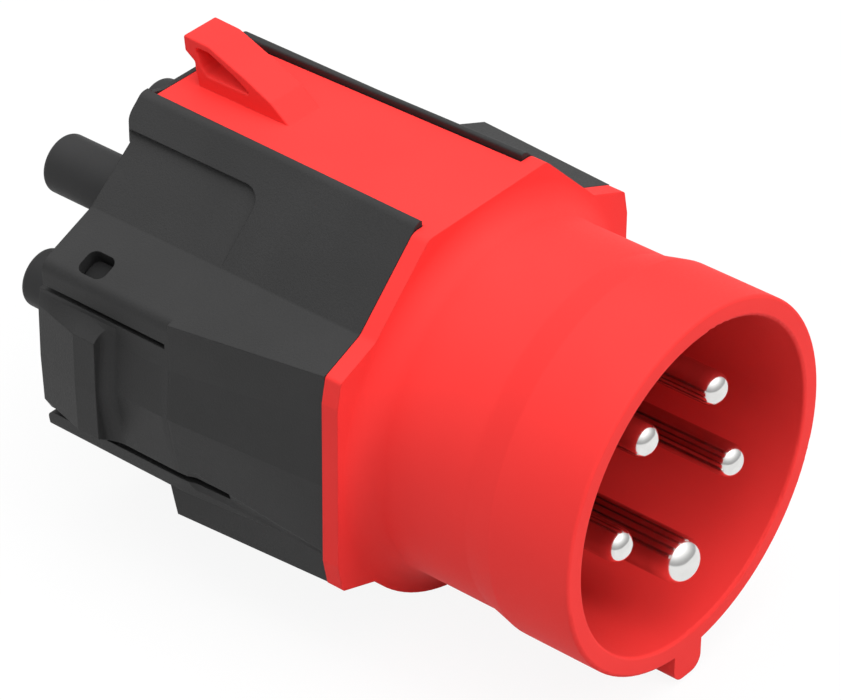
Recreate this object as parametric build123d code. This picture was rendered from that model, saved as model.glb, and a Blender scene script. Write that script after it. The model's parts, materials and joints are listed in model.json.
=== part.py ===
from build123d import *
import math
import os

# An attachment plug for a charge controller: a round five-pole plug face at the front, and
# a housing with two side latches and five sleeved contacts at the rear.
# Millimetres. The origin is the centre of the collar's rim. The plug face looks along -Y,
# the sleeves point along +Y and +Z is up.

# Collar and barrel of the front shell
COLLAR_R = 28.5
COLLAR_LENGTH = 13.7
TAPER_LENGTH = 4.9
COLLAR_STEP = 1.15
BARREL_WALL = 1.95
RIM_ROUND = 0.5
TAPER_ROUND = 2.0
BARREL_FILLET = 4.0

# Key under the collar
KEY_WIDTH = 6.2
KEY_LENGTH = 24.0
KEY_HEIGHT = 4.3
KEY_ROUND = 2.1

# Flange, with the outline that the housing behind it follows
FLANGE_Y = 37.3
FLANGE_T = 2.8
TOP_Z = 31.5
RIDGE_X = 24.2
RIDGE_Z = 20.35
SLOPE_ANGLE = 44.6
BAND_ANGLE = 22.1
CHEEK_X = 32.2
CHEEK_TOP_Z = 13.4
CHEEK_BOTTOM_Z = -13.4
SKIRT_CORNER = (31.2, -18.1)
LOBE_LAND = 0.35
LOBE_JOIN_X = 24.2
LOBE_TOP_Z = -10.0
REST_CUT = 1.1
TOP_ROUND = 2.0
SHOULDER_BEVEL = 0.8
CORNER_ROUND = 1.5
SKIRT_CORNER_ROUND = 0.8
RIDGE_ROUND = 2.0
JOIN = 1.0

# Red strip along the top, and the lanyard eye on its rear end
STRIP_FRONT_HALF = 10.75
STRIP_REAR_HALF = 9.7
STRIP_T = 2.6
STRIP_END_Y = 90.9
STRIP_EDGE_ROUND = 0.3
EYE_HALF = 3.4
EYE_ROUND = 0.3
# Eye outline and hole: distance in front of the strip's end, height above the strip's top
EYE_OUTLINE = [(20.1, -1.0), (3.2, -1.0), (2.3, 2.6), (2.2, 3.7), (0.4, 4.9), (0.1, 7.4), (5.0, 7.2),
               (11.9, 4.6), (16.6, 2.5), (20.1, 0.0)]
EYE_CORNERS = [0, 0, 0.8, 0.6, 0.4, 0.4, 2.0, 4.0, 2.0, 0]
EYE_HOLE = [(4.6, 2.2), (3.6, 3.2), (2.3, 6.1), (4.9, 6.1), (9.7, 4.1), (12.9, 2.2)]
EYE_HOLE_CORNERS = [0.8, 0.6, 0.5, 0.8, 1.5, 0.2]

# Pin carrier, its seat behind the flange and its four screws
FLOOR_Y = 38.0
HUB_WALL = 1.8
HUB_LENGTH = 2.9
CARRIER_PLATE_T = 3.0
SPIGOT_CLEARANCE = 0.15
SCREW_OFFSET = 0.712
SCREW_ANGLE = 27.76
SCREW_R = 1.5
SCREW_LENGTH = 9.5
SCREW_HEAD_R = 2.6
SCREW_HEAD_T = 2.0
SCREW_SOCKET_R = 1.2
SCREW_SOCKET_DEPTH = 1.3
SCREW_TIP_ROUND = 0.4
SCREW_HEAD_ROUND = 0.9
SCREW_SEAT_ROUND = 0.2
THREAD_CLEARANCE = 0.05
SCREW_CLEARANCE = 0.15
BOSS_R = 2.9
EAR_R = 3.2
FLANGE_SKIN = 1.2
SEAL_SECTION_R = 0.72
SEAL_GAP = 0.03

# Pins: pitch circle, free radius, tip, shank in the carrier, crimp barrel
PIN_CIRCLE_R = 13.49
EARTH_ANGLE = 270
POLE_ANGLE = 72
PIN_R = 2.5
PIN_TIP_Y = 1.75
EARTH_PIN_R = 3.5
EARTH_TIP_Y = -0.35
TIP_ROUND_SHARE = 0.85
PIN_HOLE_CLEARANCE = 0.02
CRIMP_R = 2.1
PIN_CRIMP_LENGTH = 8.0
CRIMP_BORE_R = 1.1
CRIMP_BORE_DEPTH = 5.5

# Wires between the pins and the rear contacts
WIRE_R = 1.65
WIRE_CORE_R = 1.05
WIRE_CORE_LENGTH = 5.0
WIRE_LEAD = 4.5
WIRE_GAP = 0.05
WIRE_BEND_SHARE = 0.45

# Rear contacts and their sleeves
CONTACT_R = 2.9
CONTACT_BORE_R = 2.0
CONTACT_BORE_DEPTH = 14.0
CONTACT_END_Y = 108.0
CONTACT_CRIMP_LENGTH = 6.8
CONTACT_FLANGE_R = 3.9
CONTACT_FLANGE_T = 2.0
SLEEVE_R = 4.65
SLEEVE_END_Y = 109.2
SLEEVE_FIT = 0.05
SLEEVE_COLLAR_R = 5.6
SLEEVE_COLLAR_T = 2.2
SLEEVE_ROUND = 1.0
SLEEVE_MOUTH_ROUND = 0.3
CONTACT_UPPER = (10.2, 13.2)
CONTACT_MIDDLE = (15.8, -4.1)
CONTACT_LOWER_Z = -16.0

# Housing behind the flange: it widens up to FLARE_Y and then keeps its section
HOUSING_GAP = 0.1
FLARE_Y = 66.0
HOUSING_END_Y = 90.0
TOP_END_Y = 91.9
TOP_END_ROUND = 2.0
WALL = 2.5
BAND_EDGE_FRONT_X = 31.5
BAND_EDGE_REAR_X = 34.8
BAND_EDGE_ROUND = 2.0
CREASE_A_FRONT = (31.6, 10.1)
CREASE_A_REAR = (34.3, 8.0)
CREASE_B_FRONT = (31.9, -1.0)
CREASE_B_REAR = (35.0, 0.0)
RAIL_FRONT = (31.3, -12.3)
RAIL_REAR = (32.6, -13.7)
RAIL_ROUND = 0.6
RAIL_END_ROUND = 1.4
RIDGE_EDGE_ROUND = 1.0
LOBE_STEP = 0.5
REAR_SLOPE_ANGLE = 43.0
LIP_Z = 32.5
LIP_ROUND = 1.8
LIP_INNER_ROUND = 0.4
CHANNEL_SIDE_GAP = 0.15
CHANNEL_FLOOR_GAP = 0.15
END_RIM_Z = 31.4
END_RIM_GAP = 0.2
LIP_RAMP_X = 7.4
SHELL_SOCKET_GAP = 0.3
LUG_T = 3.0

# Skirt under each side, with a slanted rear edge and a hollow above it
SKIRT_FRONT = (31.0, -18.0)
SKIRT_REAR = (33.0, -17.9)
SKIRT_INNER = (22.0, -14.0)
SKIRT_TOP_Y = 68.3
SKIRT_BOTTOM_Y = 66.8
HOLLOW_FRONT = (31.6, 41.0, -13.0)
HOLLOW_REAR = (36.45, 62.5, -11.0)
HOLLOW_FRONT_R = 0.4
HOLLOW_REAR_R = 4.0

# Shoulder of the right side, cut back behind the flare so that the rear fits one way round
CUT_UPPER = (28.0, 18.8)
CUT_LOWER = (34.5, 13.3)
CUT_REACH = 9.0

# Finger recess in the slope
RECESS_Y = 65.5
RECESS_EDGE_X = 15.2
RECESS_DEPTH = 0.9
RECESS_ROUND = 3.0

# Window in each band
WINDOW_X = 31.5
WINDOW_Y = 82.3
WINDOW_LENGTH = 4.8
WINDOW_WIDTH = 4.2
WINDOW_ROUND = 1.4

# Side latches: tongues between two slots, hinged at the front, with a catch pad
LATCH_Y = 67.0
LATCH_END_Y = 90.8
LATCH_TOP_Z = 11.5
LATCH_BOTTOM_Z = -10.0
LATCH_INNER_X = 32.0
LATCH_SEAM = 0.12
LATCH_ROOT_X = 32.5
LATCH_RELIEF = 1.3
UPPER_SLOT = 0.9
LOWER_SLOT = 1.1
LOWER_SLOT_Y = 57.2
PAD_Y = 78.0
PAD_LENGTH = 4.0
PAD_X = 37.2
PAD_LOWER_X = 36.95
PAD_TOP_Z = 8.8
PAD_BEVEL = 2.0
PAD_FOOT = 2.2
PAD_FOOT_ROUND = 2.0
RAMP_END_X = 34.95
RAMP_END_LOWER_X = 34.6
LATCH_TRAVEL_X = 26.5

# Rear carrier that holds the sleeves and snaps into the windows
CARRIER_Y = 85.0
CARRIER_T = 3.0
CARRIER_RIM_Y = 79.0
CARRIER_RIM_T = 2.0
CARRIER_FIT = 0.25
CARRIER_SIDE_GAP = 0.4
SNAP_GAP = 0.35
SNAP_SINK = 1.9

BARREL_R = COLLAR_R - COLLAR_STEP
BORE_R = BARREL_R - BARREL_WALL
HUB_R = BORE_R + HUB_WALL
LOBE_R = BARREL_R + BARREL_FILLET + LOBE_LAND
REST_Z = REST_CUT - LOBE_R
FLANGE_REAR_Y = FLANGE_Y + FLANGE_T
HUB_END_Y = FLANGE_REAR_Y + HUB_LENGTH
PLATE_END_Y = HUB_END_Y + CARRIER_PLATE_T
LUG_END_Y = PLATE_END_Y + LUG_T
HOUSING_Y = FLANGE_REAR_Y + HOUSING_GAP
STRIP_BOTTOM_Z = TOP_Z - STRIP_T
CHANNEL_FLOOR_Z = STRIP_BOTTOM_Z - CHANNEL_FLOOR_GAP
HOUSING_LOBE_R = LOBE_R - LOBE_STEP
SLEEVE_Y = CARRIER_Y - SLEEVE_COLLAR_T
PIN_CRIMP_END_Y = PLATE_END_Y + PIN_CRIMP_LENGTH
CONTACT_Y = SLEEVE_Y - CONTACT_FLANGE_T - CONTACT_CRIMP_LENGTH
SCREW_X = (HUB_R + SCREW_OFFSET) * math.cos(math.radians(SCREW_ANGLE))
SCREW_Z = (HUB_R + SCREW_OFFSET) * math.sin(math.radians(SCREW_ANGLE))
SCREW_PLACES = [(sx * SCREW_X, sz * SCREW_Z) for sx in (-1, 1) for sz in (-1, 1)]

# Pole: angle on the pitch circle seen from the front, pin radius, tip, rear contact place
POLES = {
    "phase_1": (EARTH_ANGLE + POLE_ANGLE, PIN_R, PIN_TIP_Y, CONTACT_MIDDLE),
    "phase_2": (EARTH_ANGLE + 2 * POLE_ANGLE, PIN_R, PIN_TIP_Y, CONTACT_UPPER),
    "phase_3": (EARTH_ANGLE + 3 * POLE_ANGLE, PIN_R, PIN_TIP_Y, (-CONTACT_UPPER[0], CONTACT_UPPER[1])),
    "neutral": (EARTH_ANGLE + 4 * POLE_ANGLE, PIN_R, PIN_TIP_Y, (-CONTACT_MIDDLE[0], CONTACT_MIDDLE[1])),
    "earth": (EARTH_ANGLE, EARTH_PIN_R, EARTH_TIP_Y, (0, CONTACT_LOWER_Z)),
}


def band_z(x):
    """Height of the band's surface at x."""
    return RIDGE_Z - (x - RIDGE_X) * math.tan(math.radians(BAND_ANGLE))


def slope_x(z, angle):
    """Half width at z of a slope that rises from the ridge at an angle."""
    return RIDGE_X - (z - RIDGE_Z) / math.tan(math.radians(angle))


def lobe_z(radius):
    """Height at which the round belly meets the sides."""
    return -math.sqrt(radius ** 2 - LOBE_JOIN_X ** 2)


def channel_half(y):
    """Half width of the channel in the housing at y: it tapers with the strip in it."""
    return strip_half(y) + CHANNEL_SIDE_GAP


def strip_half(y):
    """Half width of the red strip at y."""
    share = (y - FLANGE_REAR_Y) / (STRIP_END_Y - FLANGE_REAR_Y)
    return STRIP_FRONT_HALF + share * (STRIP_REAR_HALF - STRIP_FRONT_HALF)


def mirrored(half):
    """Closed anticlockwise outline from its right half, listed from the bottom up."""
    return half + [(-x, z) for x, z in reversed(half)]


def inset(points, depth):
    """Closed anticlockwise outline with every edge moved inwards by depth."""
    moved = []
    corners = zip(points[-1:] + points[:-1], points, points[1:] + points[:1])
    for before, here, after in corners:
        first = (Vector(here) - Vector(before)).normalized().rotate(Axis.Z, 90)
        second = (Vector(after) - Vector(here)).normalized().rotate(Axis.Z, 90)
        corner = Vector(here) + (first + second) * (depth / (1 + first.dot(second)))
        moved.append((corner.X, corner.Y))
    return moved


def section(points, y, radii=0):
    """Face of a closed outline in X and Z, in the plane at y. Each corner has its radius."""
    if radii == 0:
        return Plane.XZ.offset(-y) * make_face(Polyline(*points, close=True))
    return Plane.XZ.offset(-y) * make_face(FilletPolyline(*points, radius=radii, close=True))


def prism(points, y0, y1, radii=0):
    """Outline in X and Z, run from y0 to y1."""
    return extrude(section(points, y0, radii), amount=y1 - y0, dir=(0, 1, 0))


def rod(x, z, radius, y0, y1):
    """Cylinder along Y."""
    return extrude(Plane.XZ.offset(-y0) * Pos(x, z) * Circle(radius), amount=y1 - y0, dir=(0, 1, 0))


def turned(profile, x=0, z=0, radii=0):
    """Body turned about the Y axis from (radius, y) corners, moved to x and z."""
    if radii == 0:
        outline = Polyline(*profile, close=True)
    else:
        outline = FilletPolyline(*profile, radius=radii, close=True)
    return Pos(x, 0, z) * revolve(make_face(outline), Axis.Y)


def block(x0, x1, y0, y1, z0, z1):
    """Box between two corners."""
    return Pos(x0, y0, z0) * Box(x1 - x0, y1 - y0, z1 - z0, align=(Align.MIN, Align.MIN, Align.MIN))


def belly(radius, flat_z, y0, y1):
    """Round lower lobe with a flat to rest on, closed above inside the sides."""
    lobe = rod(0, 0, radius, y0, y1)
    return lobe & block(-radius, radius, y0, y1, flat_z, LOBE_TOP_Z)


def mirror_x(shape):
    """The same shape on the other side."""
    return mirror(shape, Plane.YZ)


def flange_outline():
    """Outline of the flange above its round lobe, with its corner radii."""
    half = [
        (LOBE_JOIN_X, lobe_z(LOBE_R)),
        SKIRT_CORNER,
        (CHEEK_X, CHEEK_BOTTOM_Z),
        (CHEEK_X, CHEEK_TOP_Z),
        (CHEEK_X - SHOULDER_BEVEL, band_z(CHEEK_X - SHOULDER_BEVEL)),
        (RIDGE_X, RIDGE_Z),
        (slope_x(TOP_Z, SLOPE_ANGLE), TOP_Z),
    ]
    radii = [0, SKIRT_CORNER_ROUND, CORNER_ROUND, CORNER_ROUND, SHOULDER_BEVEL, RIDGE_ROUND, TOP_ROUND]
    return mirrored(half), radii + radii[::-1]


def housing_half(band_edge_x, crease_a, crease_b, rail, lobe_r):
    """Right half of the housing's side, from the belly up to the ridge."""
    return [
        (LOBE_JOIN_X, lobe_z(lobe_r)),
        rail,
        crease_b,
        crease_a,
        (band_edge_x, band_z(band_edge_x)),
        (RIDGE_X, RIDGE_Z),
    ]


FRONT_HALF = housing_half(BAND_EDGE_FRONT_X, CREASE_A_FRONT, CREASE_B_FRONT, RAIL_FRONT, HOUSING_LOBE_R)
REAR_HALF = housing_half(BAND_EDGE_REAR_X, CREASE_A_REAR, CREASE_B_REAR, RAIL_REAR, HOUSING_LOBE_R)


def outer_outline(half, slope_angle):
    """Housing outline up to the height of its two lips."""
    return mirrored(half + [(slope_x(LIP_Z, slope_angle), LIP_Z)])


def inner_outline(half, slope_angle, depth):
    """Outline at depth inside the housing, with a flat roof under the strip's channel."""
    return inset(mirrored(half + [(slope_x(CHANNEL_FLOOR_Z, slope_angle), CHANNEL_FLOOR_Z)]), depth)


def make_front_shell():
    """Collar, key, barrel, flange, strip and eye: one moulding."""
    shell = turned(
        [
            (BORE_R, 0),
            (COLLAR_R, 0),
            (COLLAR_R, COLLAR_LENGTH),
            (BARREL_R, COLLAR_LENGTH + TAPER_LENGTH),
            (BARREL_R, FLANGE_REAR_Y),
            (BORE_R, FLANGE_REAR_Y),
        ],
        radii=[RIM_ROUND, RIM_ROUND, TAPER_ROUND, TAPER_ROUND, 0, 0],
    )
    outline, radii = flange_outline()
    plate = prism(outline, FLANGE_Y, FLANGE_REAR_Y, radii) + belly(LOBE_R, REST_Z, FLANGE_Y, FLANGE_REAR_Y)
    flare_arc = RadiusArc((BARREL_R, FLANGE_Y - BARREL_FILLET), (BARREL_R + BARREL_FILLET, FLANGE_Y),
                          BARREL_FILLET)
    flare_back = Polyline((BARREL_R + BARREL_FILLET, FLANGE_Y), (BORE_R + JOIN, FLANGE_Y),
                          (BORE_R + JOIN, FLANGE_Y - BARREL_FILLET), (BARREL_R, FLANGE_Y - BARREL_FILLET))
    flare = revolve(make_face([flare_arc, flare_back]), Axis.Y)
    flare_limit = prism(outline, FLANGE_Y - BARREL_FILLET, FLANGE_Y, radii)
    flare_limit += belly(LOBE_R, REST_Z, FLANGE_Y - BARREL_FILLET, FLANGE_Y)
    shell += plate + (flare & flare_limit)
    shell += rod(0, 0, HUB_R, FLANGE_REAR_Y - JOIN, HUB_END_Y)
    for x, z in SCREW_PLACES:
        shell += rod(x, z, BOSS_R, FLANGE_REAR_Y - JOIN, HUB_END_Y)
    key_half = [(KEY_WIDTH / 2, -COLLAR_R - KEY_HEIGHT), (KEY_WIDTH / 2, -BORE_R - JOIN)]
    shell += prism(mirrored(key_half), 0, KEY_LENGTH, [KEY_ROUND, 0, 0, KEY_ROUND])
    shell += loft([strip_section(FLANGE_Y + JOIN), strip_section(STRIP_END_Y)], ruled=True)
    shell -= rod(0, 0, BORE_R, FLANGE_Y - JOIN, HUB_END_Y)
    for x, z in SCREW_PLACES:
        shell -= rod(x, z, SCREW_R + THREAD_CLEARANCE, FLANGE_Y + FLANGE_SKIN, HUB_END_Y)
    return shell + make_eye()


def strip_section(y):
    """Section of the red strip at y."""
    half = [(strip_half(y), STRIP_BOTTOM_Z), (strip_half(y), TOP_Z)]
    return section(mirrored(half), y, [0, STRIP_EDGE_ROUND, STRIP_EDGE_ROUND, 0])


def make_eye():
    """Lanyard eye, narrow and pierced sideways."""
    outline = [(STRIP_END_Y - back, TOP_Z + up) for back, up in EYE_OUTLINE]
    hole = [(STRIP_END_Y - back, TOP_Z + up) for back, up in EYE_HOLE]
    face = make_face(FilletPolyline(*outline, radius=EYE_CORNERS, close=True))
    face -= make_face(FilletPolyline(*hole, radius=EYE_HOLE_CORNERS, close=True))
    eye = extrude(Plane.YZ * face, amount=EYE_HALF, both=True)
    sides = eye.faces().filter_by(Axis.X)
    return fillet([edge for side in sides for edge in side.edges()], EYE_ROUND)


def make_pin_carrier():
    """Insulating disc: spigot in the bore, plate on the hub, four ears under the screws."""
    carrier = rod(0, 0, BORE_R - SPIGOT_CLEARANCE, FLOOR_Y, HUB_END_Y)
    carrier += rod(0, 0, HUB_R, HUB_END_Y, PLATE_END_Y)
    for x, z in SCREW_PLACES:
        carrier += rod(x, z, EAR_R, HUB_END_Y, PLATE_END_Y)
    for x, z in SCREW_PLACES:
        carrier -= rod(x, z, SCREW_R + SCREW_CLEARANCE, HUB_END_Y, PLATE_END_Y)
    groove_half = SEAL_SECTION_R + SEAL_GAP
    groove_outer = rod(0, 0, BORE_R, seal_y() - groove_half, seal_y() + groove_half)
    groove_inner = rod(0, 0, seal_ring_r() - groove_half, FLOOR_Y, HUB_END_Y)
    carrier -= groove_outer - groove_inner
    for angle, _, _, _ in POLES.values():
        x, z = pin_place(angle)
        carrier -= rod(x, z, CRIMP_R + PIN_HOLE_CLEARANCE, FLOOR_Y, PLATE_END_Y)
    return carrier


def seal_y():
    """The seal sits in the middle of the hub."""
    return FLANGE_REAR_Y + HUB_LENGTH / 2


def seal_ring_r():
    """Radius of the seal's centre line: it reaches the bore."""
    return BORE_R - SEAL_SECTION_R - SEAL_GAP


def make_carrier_seal():
    """Ring in the spigot's groove."""
    return Pos(0, seal_y(), 0) * Rot(90, 0, 0) * Torus(seal_ring_r(), SEAL_SECTION_R)


def make_screw(x, z):
    """Pan head screw that clamps lug, ear and boss."""
    screw = turned(
        [
            (0, LUG_END_Y - SCREW_LENGTH),
            (SCREW_R, LUG_END_Y - SCREW_LENGTH),
            (SCREW_R, LUG_END_Y),
            (SCREW_HEAD_R, LUG_END_Y),
            (SCREW_HEAD_R, LUG_END_Y + SCREW_HEAD_T),
            (0, LUG_END_Y + SCREW_HEAD_T),
        ],
        x, z, [0, SCREW_TIP_ROUND, 0, SCREW_SEAT_ROUND, SCREW_HEAD_ROUND, 0],
    )
    head_y = LUG_END_Y + SCREW_HEAD_T
    socket = Plane.XZ.offset(-head_y) * Pos(x, z) * RegularPolygon(SCREW_SOCKET_R, 6)
    return screw - extrude(socket, amount=-SCREW_SOCKET_DEPTH, dir=(0, 1, 0))


def pin_place(angle):
    """X and Z of a pole on the pitch circle."""
    return (PIN_CIRCLE_R * math.cos(math.radians(angle)), PIN_CIRCLE_R * math.sin(math.radians(angle)))


def make_pin(angle, radius, tip_y):
    """Pin with a domed tip and a thinner shank that ends behind the carrier as a crimp barrel."""
    x, z = pin_place(angle)
    pin = turned(
        [
            (0, tip_y),
            (radius, tip_y),
            (radius, FLOOR_Y),
            (CRIMP_R, FLOOR_Y),
            (CRIMP_R, PIN_CRIMP_END_Y),
            (0, PIN_CRIMP_END_Y),
        ],
        x, z, [0, radius * TIP_ROUND_SHARE, 0, 0, 0, 0],
    )
    return pin - rod(x, z, CRIMP_BORE_R, PIN_CRIMP_END_Y - CRIMP_BORE_DEPTH, PIN_CRIMP_END_Y)


def make_conductor(angle, contact):
    """Insulated wire with a bare end in each crimp barrel."""
    x0, z0 = pin_place(angle)
    x1, z1 = contact
    start_y = PIN_CRIMP_END_Y + WIRE_GAP
    end_y = CONTACT_Y - WIRE_GAP
    route = [
        (x0, start_y, z0),
        (x0, start_y + WIRE_LEAD, z0),
        (x1, end_y - WIRE_LEAD, z1),
        (x1, end_y, z1),
    ]
    half_turn = Vector(0, 1, 0).get_angle(Vector(*route[2]) - Vector(*route[1])) / 2
    bend_r = WIRE_BEND_SHARE * WIRE_LEAD / math.tan(math.radians(half_turn))
    path = FilletPolyline(*route, radius=[bend_r, bend_r])
    wire = sweep(Plane(origin=route[0], z_dir=(0, 1, 0)) * Circle(WIRE_R), path)
    print(f"wire bend radius {bend_r:.1f}, volume {wire.volume:.2f},",
          f"section by length {math.pi * WIRE_R ** 2 * path.length:.2f}")
    wire += rod(x0, z0, WIRE_CORE_R, start_y - WIRE_CORE_LENGTH, start_y)
    wire += rod(x1, z1, WIRE_CORE_R, end_y, end_y + WIRE_CORE_LENGTH)
    return wire


def make_contact(x, z):
    """Socket contact: crimp barrel, flange in front of the sleeve, bored tube inside it."""
    contact = turned(
        [
            (0, CONTACT_Y),
            (CRIMP_R, CONTACT_Y),
            (CRIMP_R, SLEEVE_Y - CONTACT_FLANGE_T),
            (CONTACT_FLANGE_R, SLEEVE_Y - CONTACT_FLANGE_T),
            (CONTACT_FLANGE_R, SLEEVE_Y),
            (CONTACT_R, SLEEVE_Y),
            (CONTACT_R, CONTACT_END_Y),
            (0, CONTACT_END_Y),
        ],
        x, z,
    )
    contact -= rod(x, z, CRIMP_BORE_R, CONTACT_Y, CONTACT_Y + CRIMP_BORE_DEPTH)
    return contact - rod(x, z, CONTACT_BORE_R, CONTACT_END_Y - CONTACT_BORE_DEPTH, CONTACT_END_Y)


def make_sleeve(x, z):
    """Insulating sleeve with a collar that seats against the rear carrier."""
    return turned(
        [
            (CONTACT_R + SLEEVE_FIT, SLEEVE_Y),
            (SLEEVE_COLLAR_R, SLEEVE_Y),
            (SLEEVE_COLLAR_R, CARRIER_Y),
            (SLEEVE_R, CARRIER_Y),
            (SLEEVE_R, SLEEVE_END_Y),
            (CONTACT_R + SLEEVE_FIT, SLEEVE_END_Y),
        ],
        x, z, [0, 0, 0, 0, SLEEVE_ROUND, SLEEVE_MOUTH_ROUND],
    )


def between(low, high, z):
    """Point at a height on the line through two points."""
    share = (z - low[1]) / (high[1] - low[1])
    return (low[0] + share * (high[0] - low[0]), z)


def latch_side():
    """Outer side of the housing along the latch: bottom, two creases, pad's top and top."""
    band_edge = (BAND_EDGE_REAR_X, band_z(BAND_EDGE_REAR_X))
    return [
        between(RAIL_REAR, CREASE_B_REAR, LATCH_BOTTOM_Z),
        CREASE_B_REAR,
        CREASE_A_REAR,
        between(CREASE_A_REAR, band_edge, PAD_TOP_Z + PAD_BEVEL),
        between(CREASE_A_REAR, band_edge, LATCH_TOP_Z),
    ]


def make_latch():
    """Right latch: tongue, catch pad with a rounded foot at its shoulder, and ramp behind it."""
    side = latch_side()
    tongue = prism(side + [(LATCH_INNER_X, LATCH_TOP_Z), (LATCH_INNER_X, LATCH_BOTTOM_Z)],
                   LATCH_Y + LATCH_SEAM, LATCH_END_Y)
    bottom_x = side[0][0]
    top_x = side[-2][0]
    pad_outline = [
        (bottom_x, LATCH_BOTTOM_Z),
        (PAD_LOWER_X, LATCH_BOTTOM_Z + PAD_FOOT),
        (PAD_X, CREASE_B_REAR[1]),
        (PAD_X, PAD_TOP_Z),
        (top_x, PAD_TOP_Z + PAD_BEVEL),
        (LATCH_ROOT_X, PAD_TOP_Z + PAD_BEVEL),
        (LATCH_ROOT_X, LATCH_BOTTOM_Z),
    ]
    end_outline = [
        (bottom_x, LATCH_BOTTOM_Z),
        (RAMP_END_LOWER_X, LATCH_BOTTOM_Z + PAD_FOOT),
        CREASE_B_REAR,
        (RAMP_END_X, PAD_TOP_Z),
        (top_x, PAD_TOP_Z + PAD_BEVEL),
        (LATCH_ROOT_X, PAD_TOP_Z + PAD_BEVEL),
        (LATCH_ROOT_X, LATCH_BOTTOM_Z),
    ]
    pad = prism(pad_outline, PAD_Y, PAD_Y + PAD_LENGTH)
    ramp = loft([section(pad_outline, PAD_Y + PAD_LENGTH), section(end_outline, LATCH_END_Y)], ruled=True)
    latch = tongue + pad + ramp
    halfway_x = (CREASE_B_REAR[0] + PAD_LOWER_X) / 2
    foot = [edge for edge in latch.edges().filter_by_position(Axis.Y, PAD_Y, PAD_Y)
            if max(corner.X for corner in edge.vertices()) < halfway_x]
    return fillet(foot, PAD_FOOT_ROUND)


def make_housing():
    """Rear shell: flared front part, constant rear part, belly, skirts and everything cut in it."""
    front_outline = outer_outline(FRONT_HALF, SLOPE_ANGLE)
    rear_outline = outer_outline(REAR_HALF, REAR_SLOPE_ANGLE)
    flare_radii = [0, 0, 0, 0, 0, RIDGE_EDGE_ROUND, LIP_ROUND]
    rear_radii = [0, RAIL_ROUND, 0, 0, BAND_EDGE_ROUND, RIDGE_EDGE_ROUND, LIP_ROUND]
    shell = loft(
        [
            section(front_outline, HOUSING_Y, flare_radii + flare_radii[::-1]),
            section(rear_outline, FLARE_Y, flare_radii + flare_radii[::-1]),
        ],
        ruled=True,
    )
    shell += prism(rear_outline, FLARE_Y, TOP_END_Y, rear_radii + rear_radii[::-1])
    shell += belly(HOUSING_LOBE_R, REST_Z, HOUSING_Y, TOP_END_Y)
    skirt = make_skirt()
    shell += skirt + mirror_x(skirt)
    shell -= make_cavity() + make_channel() + make_end_cut()
    shell -= cut_shoulder(0, FLARE_Y, TOP_END_Y)
    for x, z in SCREW_PLACES:
        wall_x = BAND_EDGE_FRONT_X - WALL / 2
        lug = block(SCREW_X - EAR_R, wall_x, PLATE_END_Y, LUG_END_Y, z - EAR_R, z + EAR_R)
        shell += lug if x > 0 else mirror_x(lug)
        shell -= rod(x, z, SCREW_R + SCREW_CLEARANCE, PLATE_END_Y, LUG_END_Y)
        shell -= rod(x, z, EAR_R + SHELL_SOCKET_GAP, HOUSING_Y, PLATE_END_Y)
        shell -= rod(x, z, SCREW_HEAD_R + SHELL_SOCKET_GAP, LUG_END_Y, FLARE_Y)
    shell -= rod(0, 0, HUB_R + SHELL_SOCKET_GAP, HOUSING_Y, PLATE_END_Y)
    cuts = make_recess() + make_latch_opening() + make_hollow()
    windows = left_window(0, -WALL * 2, WALL) + right_window(0, -WALL * 2, WALL)
    return shell - cuts - mirror_x(cuts) - windows


def make_cavity():
    """Space inside the housing, open at both ends."""
    cavity = loft(
        [
            section(inner_outline(FRONT_HALF, SLOPE_ANGLE, WALL), HOUSING_Y),
            section(inner_outline(REAR_HALF, REAR_SLOPE_ANGLE, WALL), FLARE_Y),
        ],
        ruled=True,
    )
    cavity += prism(inner_outline(REAR_HALF, REAR_SLOPE_ANGLE, WALL), FLARE_Y, TOP_END_Y)
    cavity += belly(HOUSING_LOBE_R - WALL, REST_Z + WALL, HOUSING_Y, TOP_END_Y)
    return cavity - cut_shoulder(WALL, FLARE_Y - WALL, TOP_END_Y)


def make_channel():
    """Tapered channel for the strip, and the lower notch in the wall behind the strip's end."""
    end_y = STRIP_END_Y + END_RIM_GAP
    channel = loft([channel_section(HOUSING_Y), channel_section(end_y)], ruled=True)
    notch = [
        (LIP_RAMP_X, END_RIM_Z),
        (channel_half(end_y), LIP_Z - LIP_INNER_ROUND),
        (channel_half(end_y), LIP_Z + LIP_ROUND),
    ]
    return channel + prism(mirrored(notch), end_y, TOP_END_Y)


def channel_section(y):
    """Section of the channel at y, with the rounded inner edges of the lips."""
    half = [
        (channel_half(y), CHANNEL_FLOOR_Z),
        (channel_half(y), LIP_Z),
        (channel_half(y) + 2 * LIP_INNER_ROUND, LIP_Z),
        (channel_half(y) + 2 * LIP_INNER_ROUND, LIP_Z + LIP_ROUND),
    ]
    radii = [0, LIP_INNER_ROUND, 0, 0]
    return section(mirrored(half), y, radii + radii[::-1])


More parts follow.
